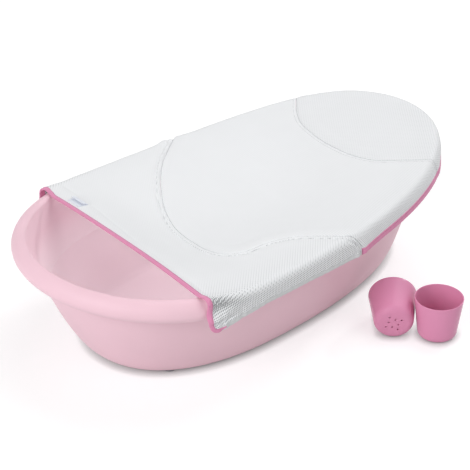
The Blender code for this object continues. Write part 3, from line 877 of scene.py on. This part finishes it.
# Cups
CUP_HEIGHT = 0.0716
CUP_TOP_RADIUS = 0.0401
CUP_BASE_RADIUS = 0.0316
CUP_FILLET = 0.0108
CUP_WALL = 0.0018
CUP_LEAN = atan2(CUP_TOP_RADIUS - CUP_BASE_RADIUS, CUP_HEIGHT)
CUP_STEPS = 128
SPRINKLE_CUP_BASE = Vector((0.0970, -0.2756, CUP_BASE_RADIUS * cos(CUP_LEAN)))
SPRINKLE_CUP_HEADING = radians(46)
RINSE_CUP_AHEAD = 0.0210
CUP_SPACING = 0.0004
SPRAY_HOLE_RADIUS = 0.0016
SPRAY_RINGS = ((0.0079, radians(16)), (0.0145, radians(60)))
SPRAY_HOLES_PER_RING = 4
SPRAY_HOLE_SIDES = 24


def cup_section():
    """Half section of a cup, from the middle of its inside over a rounded lip to the middle of its base."""
    rise = CUP_FILLET * (1 - sin(CUP_LEAN)) / cos(CUP_LEAN)
    flat_radius = CUP_BASE_RADIUS + rise * sin(CUP_LEAN) - CUP_FILLET * cos(CUP_LEAN)
    inner = arc((flat_radius, CUP_FILLET), CUP_FILLET - CUP_WALL, -pi / 2, -CUP_LEAN, 11)
    outer = arc((flat_radius, CUP_FILLET), CUP_FILLET, -CUP_LEAN, -pi / 2, 11)
    lip = CUP_WALL / 2
    lip_middle = (CUP_TOP_RADIUS - lip / cos(CUP_LEAN), CUP_HEIGHT - lip)
    round_lip = arc(lip_middle, lip, pi - CUP_LEAN, -CUP_LEAN, 8)
    inside_base = np.linspace((0, CUP_WALL), inner[0], 6)[:-1]
    inside_wall = np.linspace(inner[-1], round_lip[0], 9)[1:-1]
    outside_wall = np.linspace(round_lip[-1], outer[0], 9)[1:-1]
    under = np.linspace(outer[-1], (0, 0), 6)[1:]
    return np.concatenate([inside_base, inner, inside_wall, round_lip, outside_wall, outer, under])


def turned(name, section, steps, x=0.0, y=0.0):
    """Piece turned about an upright axis from a half section that starts and ends on that axis."""
    line = section[1:-1]
    points = [(x, y, section[0][1])]
    for ahead, beside in circle((0, 0), 1, steps):
        points += [(x + r * ahead, y + r * beside, z) for r, z in line]
    points.append((x, y, section[-1][1]))
    count = len(line)
    faces = []
    for i in range(steps):
        here = 1 + i * count
        there = 1 + (i + 1) % steps * count
        faces.append((0, here, there))
        faces += [(here + j, here + j + 1, there + j + 1, there + j) for j in range(count - 1)]
        faces.append((here + count - 1, len(points) - 1, there + count - 1))
    return make_object(name, points, faces)


def pierce(cup):
    """Spray holes through a cup's base."""
    points = []
    faces = []
    for radius, first in SPRAY_RINGS:
        for middle in circle((0, 0), radius, SPRAY_HOLES_PER_RING, first):
            faces += tube_faces(2, SPRAY_HOLE_SIDES, len(points))
            hole = circle(middle, SPRAY_HOLE_RADIUS, SPRAY_HOLE_SIDES)
            points += [(x, y, z) for z in (-CUP_WALL, 2 * CUP_WALL) for x, y in hole]
    drill = make_object("drill", points, faces)
    cut = cup.modifiers.new("spray_holes", "BOOLEAN")
    cut.operation = "DIFFERENCE"
    cut.object = drill
    cut.solver = "EXACT"
    ready = cup.evaluated_get(bpy.context.evaluated_depsgraph_get())
    pierced = bpy.data.meshes.new_from_object(ready)
    cup.modifiers.clear()
    cup.data = pierced
    bpy.data.objects.remove(drill)


def build_cups():
    """Cup that stands upright, and cup with a pierced base that lies on its side."""
    section = cup_section()
    sprinkle = turned("sprinkling_cup", section, CUP_STEPS)
    pierce(sprinkle)
    lying = Matrix.Rotation(SPRINKLE_CUP_HEADING, 4, "Z") @ Matrix.Rotation(pi / 2 - CUP_LEAN, 4, "Y")
    sprinkle.data.transform(Matrix.Translation(SPRINKLE_CUP_BASE) @ lying)
    rinse = turned("rinsing_cup", section, CUP_STEPS)
    ahead = Vector((cos(SPRINKLE_CUP_HEADING), sin(SPRINKLE_CUP_HEADING), 0))
    beside = Vector((ahead.y, -ahead.x, 0))
    place = SPRINKLE_CUP_BASE + ahead * RINSE_CUP_AHEAD
    place += beside * (CUP_TOP_RADIUS + CUP_BASE_RADIUS + CUP_SPACING)
    rinse.data.transform(Matrix.Translation((place.x, place.y, 0)))
    return sprinkle, rinse


# Rubber pads
PAD_HEIGHT = 0.0036
PAD_SECTION = ((0.0, PAD_HEIGHT), (0.0094, PAD_HEIGHT), (0.0100, 0.0030), (0.0100, 0.0010),
               (0.0097, 0.0004), (0.0091, 0.0001), (0.0080, 0.0), (0.0074, 0.0), (0.0071, 0.0005),
               (0.0058, 0.0005), (0.0055, 0.0), (0.0, 0.0))
PAD_STEPS = 48


def build_pad(node):
    """Round anti-slip pad with a moulded ring in its sole."""
    low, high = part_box(node)
    middle = (low + high) / 2
    return turned(node.replace("rubber_pad", "sole_pad"), PAD_SECTION, PAD_STEPS, middle.x, middle.y)


# Materials


def operator(operation, reflected=False):
    """Operator of a socket that adds a Math node."""
    def apply(self, other):
        return self.finish.math(operation, *((other, self) if reflected else (self, other)))

    return apply


class Shade:
    """Socket of a shader tree. Arithmetic on it adds Math nodes."""

    __add__ = operator("ADD")
    __radd__ = operator("ADD", reflected=True)
    __sub__ = operator("SUBTRACT")
    __rsub__ = operator("SUBTRACT", reflected=True)
    __mul__ = operator("MULTIPLY")
    __rmul__ = operator("MULTIPLY", reflected=True)

    def __init__(self, finish, socket):
        self.finish = finish
        self.socket = socket

    def math(self, operation, *others):
        return self.finish.math(operation, self, *others)

    def outputs(self, *names):
        """Other outputs of the same node."""
        return [Shade(self.finish, self.socket.node.outputs[name]) for name in names]


class Finish:
    """Shader tree of one material, or of the world."""

    def __init__(self, owner):
        owner.use_nodes = True
        self.tree = owner.node_tree
        self.tree.nodes.clear()

    def add(self, kind, inputs=None, output=0, **settings):
        """New node of a kind, its settings first, then the values or links of its sockets."""
        node = self.tree.nodes.new("ShaderNode" + kind)
        for name, value in settings.items():
            setattr(node, name, value)
        for name, value in (inputs or {}).items():
            if isinstance(value, Shade):
                self.tree.links.new(value.socket, node.inputs[name])
            else:
                node.inputs[name].default_value = value
        return Shade(self, node.outputs[output]) if node.outputs else None

    def math(self, operation, *values):
        return self.add("Math", dict(enumerate(values)), operation=operation)

    def blend(self, share, first, second):
        """Colour between two colours."""
        return self.add("Mix", {0: share, 6: first, 7: second}, 2, data_type="RGBA")

    def ramp(self, value, low, high):
        """Eased 0 to 1 as a value goes from low to high."""
        return self.add("MapRange", {"Value": value, "From Min": low, "From Max": high},
                        interpolation_type="SMOOTHSTEP")

    def noise(self, place, scale, detail=2.0):
        return self.add("TexNoise", {"Vector": place, "Scale": scale, "Detail": detail})

    def bump(self, height, distance):
        return self.add("Bump", {"Height": height, "Distance": distance, "Strength": 1.0})

    def cloth(self):
        """Place on the flat cloth, and its two lengths."""
        flat = self.add("UVMap", uv_map="cloth")
        return flat, *self.add("SeparateXYZ", {"Vector": flat}).outputs("X", "Y")


def rgb(colour, factor=1.0):
    """Colour socket value."""
    return (*(min(1.0, c * factor) for c in colour), 1.0)


def new_finish(name):
    """New material and its shader tree."""
    material = bpy.data.materials.new(name)
    return material, Finish(material)


def surface(finish, light_through=0.0, **sockets):
    """Principled surface as the material's output; an open knit lets a share of the light through."""
    names = {key.replace("_", " ").title().replace("Ior", "IOR"): value for key, value in sockets.items()}
    shader = finish.add("BsdfPrincipled", names)
    if light_through:
        clear = finish.add("BsdfTransparent")
        shadow = finish.add("LightPath", output="Is Shadow Ray")
        shader = finish.add("MixShader", {0: shadow * light_through, 1: shader, 2: clear})
    finish.add("OutputMaterial", {"Surface": shader})


def moulded_plastic(name, colour, inside_lightened_colour, roughness, grain, gloss):
    """Satin injection-moulded plastic with a fine grain and a slight cloudiness; its inside is painted
    paler, as painted light that brightens the shaded inside of the tub.
    """
    material, finish = new_finish(name)
    place = finish.add("TexCoord", output="Object")
    cloud = finish.noise(place, 14.0)
    speck = finish.noise(place, 900.0, 1.0)
    wear = finish.noise(place, 60.0, 4.0)
    inner = finish.add("Attribute", output="Fac", attribute_name="inner")
    dull = finish.blend(inner, rgb(colour, 0.975), rgb(inside_lightened_colour, 0.975))
    clear = finish.blend(inner, rgb(colour, 1.02), rgb(inside_lightened_colour, 1.02))
    colour_now = finish.blend(cloud, dull, clear)
    surface(finish, base_color=colour_now, roughness=roughness - 0.05 + 0.10 * wear,
            specular_ior_level=gloss, normal=finish.bump(speck, grain))
    return material


def knitted_mesh(name, colour, hole_shade_colour, pitch, row, open_top, depth, turn=0.0, slack_eyelets=0.0):
    """Knitted mesh: a staggered net of small holes, more open where the cloth is stretched over the rim;
    past full stretch, under the corner folds, the holes darken further as painted shade.
    """
    material, finish = new_finish(name)
    flat, u, v = finish.cloth()
    stretch_and_shade = finish.add("Attribute", output="Fac", attribute_name="stretch_and_shade")
    fray = finish.noise(flat, 420.0, 2.0)
    rise = (u * cos(turn) - v * sin(turn)) * (2 * pi / pitch) + fray * 0.5
    fall = (u * sin(turn) + v * cos(turn)) * (pi / row)
    wale = rise.math("COSINE")
    eyelet = ((rise + fall).math("COSINE") + (rise - fall).math("COSINE")) * 0.5
    net = wale + (eyelet - wale) * (slack_eyelets + (1 - slack_eyelets) * stretch_and_shade)
    # Past full stretch the holes darken more: painted shade under the corner folds
    net = net + (stretch_and_shade - 1).math("MAXIMUM", 0.0) * 0.9
    hole = finish.ramp(net, -0.05, 0.75)
    shown = hole * (open_top + (1 - open_top) * stretch_and_shade)
    tone = finish.noise(flat, 22.0, 3.0)
    thread = finish.blend(tone, rgb(colour, 0.985), rgb(colour, 1.01))
    # Holes show a painted shade grey in place of the space seen through them
    colour_now = finish.blend(shown, thread, rgb(hole_shade_colour))
    surface(finish, MESH_LIGHT_THROUGH, base_color=colour_now, roughness=0.82 + 0.10 * fray,
            specular_ior_level=0.25, sheen_weight=0.12, sheen_roughness=0.5,
            normal=finish.bump(fray * 0.3 - shown, depth))
    return material


def woven_tape(name, colour, rib, depth, shade):
    """Narrow woven tape with fine ribs across its length."""
    material, finish = new_finish(name)
    flat, u, v = finish.cloth()
    fuzz = finish.noise(flat, 700.0, 3.0)
    twill = ((u + v * 0.6) * (2 * pi / rib)).math("SINE") * 0.5 + 0.5
    tone = finish.noise(flat, 30.0, 2.0)
    cord = twill * 0.7 + fuzz * 0.3
    colour_now = finish.blend(cord * 0.7 + tone * 0.3, rgb(colour, shade), rgb(colour, 1.06))
    surface(finish, base_color=colour_now, roughness=0.70 + 0.15 * fuzz, specular_ior_level=0.3,
            sheen_weight=0.3, sheen_roughness=0.4, normal=finish.bump(cord, depth))
    return material


def soft_rubber(name, colour):
    """Matt grey rubber with a fine mottled skin."""
    material, finish = new_finish(name)
    place = finish.add("TexCoord", output="Object")
    mottle = finish.noise(place, 260.0, 4.0)
    surface(finish, base_color=finish.blend(mottle, rgb(colour, 0.85), rgb(colour, 1.1)),
            roughness=0.70 + 0.2 * mottle, normal=finish.bump(mottle, 0.0002))
    return material


# Colours, and the share of the light that goes through the mesh
TUB_PINK = (0.88, 0.60, 0.68)
# Inside of the tub: painted light, paler than the plastic so that its shaded inside reads brighter
TUB_INSIDE_LIGHTENED_PINK = (0.99, 0.83, 0.875)
CUP_PINK = (0.715, 0.288, 0.452)
TAPE_PINK = (0.77, 0.29, 0.475)
MESH_WHITE = (0.83, 0.84, 0.855)
HEAD_MESH_WHITE = (0.818, 0.828, 0.843)
# Hole greys: the holes are the knit's own pattern, but their grey is painted shade for the shaded space
# seen through them, darkest on the collar
COLLAR_HOLE_SHADE_GREY = (0.34, 0.35, 0.36)
CENTRE_HOLE_SHADE_GREY = (0.46, 0.47, 0.48)
HEAD_HOLE_SHADE_GREY = (0.44, 0.45, 0.46)
ELASTIC_WHITE = (0.70, 0.71, 0.72)
LABEL_WHITE = (0.78, 0.81, 0.88)
# Threads: real stitching, darkened with painted shade so that their rows read as the shadowed seam and tape
# grooves
THREAD_SHADOW_GREY = (0.52, 0.53, 0.54)
THREAD_SHADOW_PINK = (0.42, 0.13, 0.25)
PAD_GREY = (0.26, 0.25, 0.27)
MESH_LIGHT_THROUGH = 0.85


def put_on(piece, body, slot, material, *nodes):
    """Piece with its material, riding on a body and standing for CAD nodes."""
    piece.data.materials.clear()
    piece.data.materials.append(material)
    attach(piece, body)
    if nodes:
        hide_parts(*nodes)
    return piece


# Stage
FLOOR_REACH = 8.0
FLOOR_LEVEL = -0.0002
FLOOR_GREY = (0.76, 0.76, 0.76, 1)
FLOOR_SHOWN_GREY = (0.52, 0.52, 0.52, 1)
FLOOR_GLOW = 0.60
# Reach of the painted contact shadow: close to the objects the floor's glow fades out by ambient occlusion
PAINTED_CONTACT_SHADE_REACH = 0.014
WHITE = (1, 1, 1, 1)
SKY_STRENGTH = 0.245

# Square studio lights that face the tub: place, side and power
SOFTBOX_TARGET = (0, 0, 0.1)
SOFTBOXES = {
    "left_softbox": ((-5.90, -0.80, 3.20), 4.6, 295),
    "front_softbox": ((2.04, -5.10, 4.08), 4.6, 96),
    "top_softbox": ((3.06, 0.68, 6.03), 4.6, 165),
    "back_softbox": ((6.05, 0.82, 3.00), 0.6, 90),
}


def seen_share(finish):
    """1 for rays that show the background: straight to the camera, mirrored or through something."""
    path = finish.add("LightPath")
    seen, mirrored, through = path.outputs("Is Camera Ray", "Is Glossy Ray", "Is Transmission Ray")
    return seen.math("MAXIMUM", mirrored).math("MAXIMUM", through)


def aimed(thing, place, target):
    """Lamp or camera put in its place and turned to a target."""
    thing.location = place
    thing.rotation_mode = "QUATERNION"
    thing.rotation_quaternion = (Vector(target) - Vector(place)).to_track_quat("-Z", "Y")
    return thing


# Putting the scene together
for old in list(bpy.data.objects):
    bpy.data.objects.remove(old, do_unlink=True)
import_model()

tub_plastic = moulded_plastic("tub_plastic_finish", TUB_PINK, TUB_INSIDE_LIGHTENED_PINK,
                              roughness=0.48, grain=0.00006, gloss=0.25)
cup_plastic = moulded_plastic("cup_plastic_finish", CUP_PINK, CUP_PINK,
                              roughness=0.22, grain=0.00004, gloss=0.10)
collar_mesh = knitted_mesh("collar_mesh_finish", MESH_WHITE, COLLAR_HOLE_SHADE_GREY, pitch=0.0038, row=0.0026,
                           open_top=0.025, depth=0.0003, turn=radians(45))
centre_mesh = knitted_mesh("centre_mesh_finish", MESH_WHITE, CENTRE_HOLE_SHADE_GREY, pitch=0.0034, row=0.0021,
                           open_top=0.05, depth=0.0002)
head_mesh = knitted_mesh("head_mesh_finish", HEAD_MESH_WHITE, HEAD_HOLE_SHADE_GREY, pitch=0.0050, row=0.0031,
                         open_top=0.16, depth=0.0002, slack_eyelets=0.9)
tape_weave = woven_tape("binding_tape_finish", TAPE_PINK, rib=0.0011, depth=0.00015, shade=0.88)
elastic_weave = woven_tape("hem_elastic_finish", ELASTIC_WHITE, rib=0.0018, depth=0.0003, shade=0.84)
label_weave = woven_tape("label_finish", LABEL_WHITE, rib=0.0008, depth=0.00005, shade=0.97)
# Thread finishes with painted shade: darker than the thread itself so that the stitched rows read as
# shadowed grooves
shaded_white_thread = woven_tape("white_thread_finish", THREAD_SHADOW_GREY, rib=0.0006, depth=0.00005, shade=0.90)
shaded_pink_thread = woven_tape("pink_thread_finish", THREAD_SHADOW_PINK, rib=0.0006, depth=0.00005, shade=0.90)
pad_rubber = soft_rubber("pad_rubber_finish", PAD_GREY)

tub = put_on(build_tub(), "tub", "tub_plastic", tub_plastic, "tub_shell")
for end in ("foot", "head"):
    for side in ("near", "far"):
        node = f"rubber_pad_{end}_{side}"
        put_on(build_pad(node), "tub", "pad_rubber", pad_rubber, node)

outlines = panel_outlines()
panels = {}
for part, slot, mesh in (("collar", "coarse_mesh", collar_mesh), ("centre", "fine_mesh", centre_mesh),
                         ("head", "head_mesh", head_mesh)):
    panel, area = sew_panel(f"{part}_panel", outlines[part])
    panels[part] = (put_on(panel, "sling", slot, mesh, f"sling_{part}_panel"), area)

far_tape_end = border_index(FOOT_CROSS_FAR_X + TAPE_HEM_LENGTH, 1)
near_tape_end = border_index(FOOT_CROSS_NEAR_X + TAPE_HEM_LENGTH, -1)
far_seam_end, near_seam_end = nearest(tree_of(BORDER), COLLAR_SEAM[[0, -1]])

foot_path = stretch_of(BORDER, far_tape_end, near_tape_end)
head_path = stretch_of(BORDER, near_seam_end, far_seam_end)
near_hem_path = stretch_of(BORDER, near_tape_end - HEM_UNDERLAP, near_seam_end - 1)
far_hem_path = stretch_of(BORDER, far_seam_end + 1, far_tape_end + HEM_UNDERLAP)
tape_steps = np.arange(len(foot_path))
from_tape_end = np.minimum(tape_steps, tape_steps[::-1]) * BORDER_STEP
foot_widths = 0.35 + 0.65 * smooth(from_tape_end, 0, TAPE_TAPER)
foot_widths = foot_widths * (1 + swells(from_tape_end, TAPE_SWELLS))
far_corner = from_tape_end[:FAR_CORNER_STEPS]
foot_widths[:FAR_CORNER_STEPS] *= 1 + swells(far_corner, FAR_TAPE_SWELLS)
foot_section = tape_section(BAND_WIDTH, TAPE_UNDER, TAPE_TOP, TAPE_ROUNDING)
head_section = tape_section(HEAD_TAPE_WIDTH, TAPE_UNDER, TAPE_TOP, TAPE_ROUNDING)
hem_section = tape_section(BAND_WIDTH, TAPE_UNDER, HEM_TOP, HEM_ROUNDING)
foot_tape = sew_tape("foot_binding_tape", foot_path, foot_section, foot_widths)
head_tape = sew_tape("head_binding_tape", head_path, head_section)
near_hem = sew_tape("near_hem_band", near_hem_path, hem_section)
far_hem = sew_tape("far_hem_band", far_hem_path, hem_section)
put_on(foot_tape, "sling", "binding_tape", tape_weave, "foot_binding")
put_on(head_tape, "sling", "binding_tape", tape_weave, "head_binding")
put_on(near_hem, "sling", "hem_elastic", elastic_weave, "near_hem_elastic")
put_on(far_hem, "sling", "hem_elastic", elastic_weave, "far_hem_elastic")

hem_tape_path = across_foot(-HEM_TAPE_HALF, HEM_TAPE_HALF, 150, HEM_TAPE_SETBACK)
hem_tape_section = tape_section(HEM_TAPE_WIDTH, HEM_TAPE_UNDER, HEM_TAPE_TOP, HEM_TAPE_ROUNDING)
inner_tape = sew_tape("foot_hem_tape", hem_tape_path, hem_tape_section)
put_on(inner_tape, "sling", "hem_elastic", elastic_weave, "foot_hem_elastic")

label_path = across_foot(LABEL_FROM, LABEL_TO, 26, LABEL_SETBACK)
label = sew_tape("plain_label", label_path, label_section())
put_on(label, "sling", "label_cloth", label_weave, "blank_label")

collar_line = trimmed(COLLAR_SEAM, 0)
head_line = trimmed(HEAD_SEAM, 0)
seam_stitches = sew_stitches("seam_stitching", [
    (shifted(collar_line, 0.0006), CLOTH_TOP), (shifted(collar_line, -FELL_WIDTH + 0.0008), CLOTH_TOP),
    (shifted(head_line, 0.0008), CLOTH_TOP), (shifted(head_line, -HEAD_FELL_WIDTH), CLOTH_TOP)])
tape_stitches = sew_stitches("tape_stitching", [
    (shifted(foot_path[TAPE_STITCH_ENDS:-TAPE_STITCH_ENDS], TAPE_STITCH_IN), TAPE_TOP - 0.0002),
    (shifted(head_path, HEAD_STITCH_IN), TAPE_TOP)])
hem_stitches = sew_stitches("hem_stitching", [
    (shifted(near_hem_path[HEM_UNDERLAP:], HEM_STITCH_IN), HEM_TOP),
    (shifted(far_hem_path[:-HEM_UNDERLAP], HEM_STITCH_IN), HEM_TOP)])
put_on(seam_stitches, "sling", "fine_mesh", shaded_white_thread)
put_on(tape_stitches, "sling", "binding_tape", shaded_pink_thread)
put_on(hem_stitches, "sling", "hem_elastic", shaded_white_thread)

sewn_on = {
    "collar": [foot_tape, near_hem, far_hem, inner_tape, hem_stitches],
    "centre": [seam_stitches],
    "head": [head_tape, tape_stitches],
}
for part, pieces in sewn_on.items():
    panel, area = panels[part]
    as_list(pieces)

sprinkle, rinse = build_cups()
put_on(sprinkle, "sprinkle_cup", "cup_plastic", cup_plastic, "sprinkle_cup")
put_on(rinse, "rinse_cup", "cup_plastic", cup_plastic, "rinse_cup")

floor_mesh = bpy.data.meshes.new("studio_floor")
floor_corners = [(x * FLOOR_REACH, y * FLOOR_REACH, 0) for x, y in ((-1, -1), (1, -1), (1, 1), (-1, 1))]
floor_mesh.from_pydata(floor_corners, [], [(0, 1, 2, 3)])
floor = placed("studio_floor", floor_mesh)
floor.location.z = FLOOR_LEVEL

floor_material, floor_finish = new_finish("studio_floor_finish")
bounce = floor_finish.add("BsdfDiffuse", {"Color": FLOOR_GREY})
paper = floor_finish.add("BsdfDiffuse", {"Color": FLOOR_SHOWN_GREY})
glow = floor_finish.add("Emission", {"Color": WHITE, "Strength": FLOOR_GLOW})
lit = floor_finish.add("AddShader", {0: paper, 1: glow})
# Painted contact shadow: ambient occlusion takes the glow off the floor close to the objects, so only the
# lit paper shows there
clearance = floor_finish.add("AmbientOcclusion", {"Distance": PAINTED_CONTACT_SHADE_REACH}, "AO", samples=12)
open_floor = floor_finish.add("MixShader", {0: clearance, 1: paper, 2: lit})
shown = floor_finish.add("MixShader", {0: seen_share(floor_finish), 1: bounce, 2: open_floor})
floor_finish.add("OutputMaterial", {"Surface": shown})
floor_mesh.materials.append(floor_material)

world = bpy.data.worlds.new("studio_world")
bpy.context.scene.world = world
sky = Finish(world)
sky_light = sky.add("Background", {"Color": WHITE, "Strength": SKY_STRENGTH})
sky_white = sky.add("Background", {"Color": WHITE, "Strength": 1.0})
sky_mix = sky.add("MixShader", {0: seen_share(sky), 1: sky_light, 2: sky_white})
sky.add("OutputWorld", {"Surface": sky_mix})

for name, (place, size, power) in SOFTBOXES.items():
    light = bpy.data.lights.new(name, "AREA")
    light.shape = "SQUARE"
    light.size = size
    light.energy = power
    aimed(placed(name, light), place, SOFTBOX_TARGET)

lens = bpy.data.cameras.new("camera")
lens.lens = CAMERA_LENS
lens.sensor_width = CAMERA_SENSOR
bpy.context.scene.camera = aimed(placed("camera", lens), CAMERA_PLACE, CAMERA_TARGET)
bpy.context.scene.view_settings.view_transform = "Standard"
